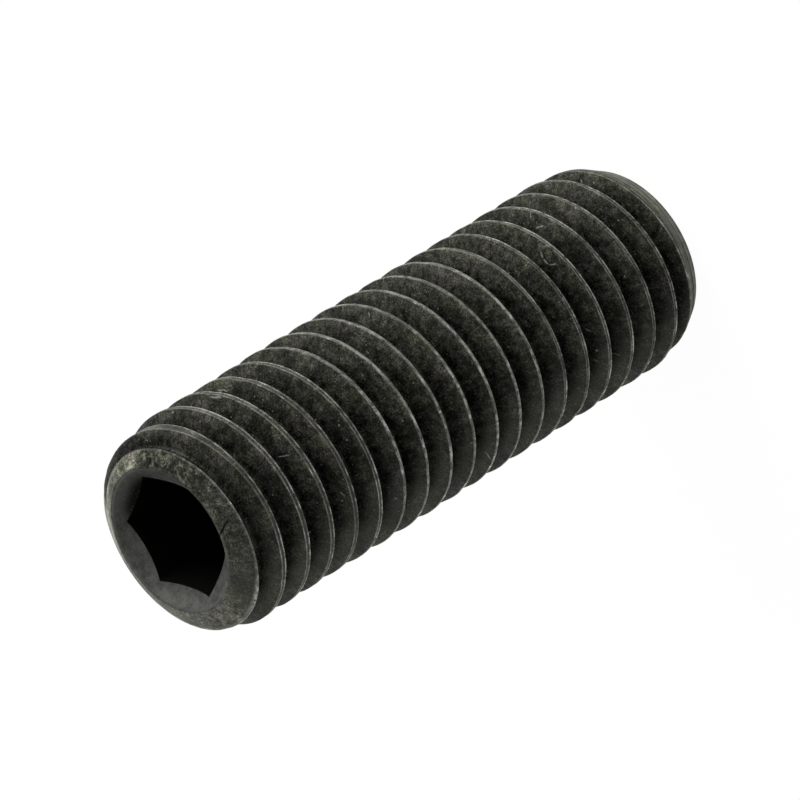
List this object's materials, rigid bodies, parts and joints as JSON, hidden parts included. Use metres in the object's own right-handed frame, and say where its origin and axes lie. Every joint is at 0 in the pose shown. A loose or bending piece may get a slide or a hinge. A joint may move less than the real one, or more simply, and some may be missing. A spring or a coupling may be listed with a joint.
{
  "type": "grub set screw",
  "caption": "Headless threaded rod with a hex socket in one end, a flat chamfered point at the other and a right-hand thread over its whole length.",
  "frame": {"origin": "centre of the flat point's face, which the screw stands on", "axes": "+Z along the screw's axis, from the flat point to the socket end; a corner of the hex socket lies on +X"},
  "size_m": [0.0126, 0.0126, 0.0385],
  "materials": {
    "black_oxide_steel": "black oxide, satin, crests worn bright"
  },
  "bodies": {
    "root": {"set_screw": "black_oxide_steel"}
  },
  "joints": []
}
